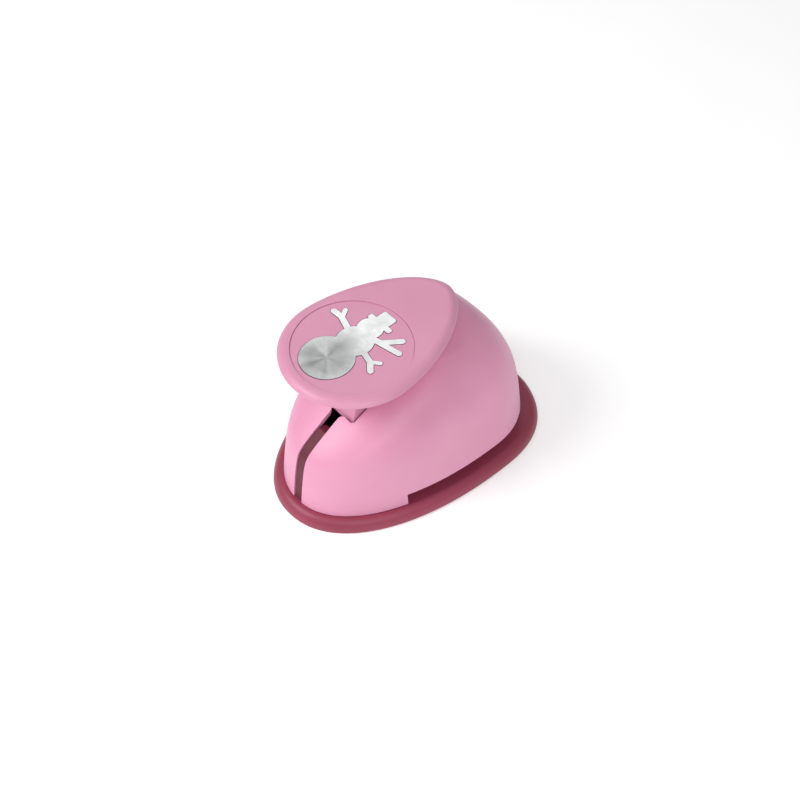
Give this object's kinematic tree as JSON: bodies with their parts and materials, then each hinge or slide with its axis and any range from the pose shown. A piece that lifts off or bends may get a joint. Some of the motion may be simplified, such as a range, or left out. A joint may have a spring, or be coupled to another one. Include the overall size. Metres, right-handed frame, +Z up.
{
  "type": "craft punch",
  "caption": "Pink plastic lever craft punch with an egg-shaped plum base, a teardrop thumb pad and a silver snowman motif on its label.",
  "frame": {"origin": "centre of the base's footprint box, on the surface it rests on", "axes": "+X to the user's right, +Y to the back where the paper goes in, +Z up; the thumb pad and the slit are at the -Y front"},
  "size_m": [0.077, 0.109, 0.0694],
  "materials": {
    "pink_plastic": "satin moulded",
    "plum_plastic": "satin moulded",
    "silver_foil": "brushed satin",
    "machined_steel": "brushed",
    "spring_steel": "drawn wire and strip",
    "zinc_screw": "zinc plated"
  },
  "bodies": {
    "housing": {"base_tray": "plum_plastic", "die_plate": "machined_steel", "die_screw_1": "zinc_screw", "die_screw_2": "zinc_screw", "die_screw_3": "zinc_screw", "die_screw_4": "zinc_screw", "front_block": "plum_plastic", "upper_frame": "machined_steel", "base_screw_1": "zinc_screw", "base_screw_2": "zinc_screw", "base_screw_3": "zinc_screw", "base_screw_4": "zinc_screw", "cover_shell": "pink_plastic", "pivot_pin": "machined_steel", "pivot_clip_left": "spring_steel", "pivot_clip_right": "spring_steel", "guide_post_left": "machined_steel", "guide_post_right": "machined_steel", "return_spring_left": "spring_steel", "return_spring_right": "spring_steel"},
    "lever": {"thumb_pad": "pink_plastic", "label_disc": "pink_plastic", "motif_plate": "silver_foil", "lever_arm": "machined_steel", "press_pin": "machined_steel", "pad_screw_1": "zinc_screw", "pad_screw_2": "zinc_screw"},
    "punch": {"punch_holder": "machined_steel", "punch_cutter": "machined_steel", "wear_plate": "machined_steel", "cutter_screw_1": "zinc_screw", "cutter_screw_2": "zinc_screw"}
  },
  "joints": [
    {"name": "lever_pivot", "type": "hinge", "parent": "housing", "child": "lever", "pos_m": [0, 0.03652, 0.032], "axis": [1, 0, 0], "range_deg": [0, 11.6]},
    {"name": "punch_slide", "type": "slide", "parent": "housing", "child": "punch", "axis": [0, 0, -1], "range_m": [0, 0.0067], "stiffness_N_per_m": 3000, "springref_m": -0.004, "deforming": ["return_spring_left", "return_spring_right"]}
  ],
  "couplings": [
    {"joint": "lever_pivot", "follows": "punch_slide", "rad_per_m": 30.2}
  ]
}
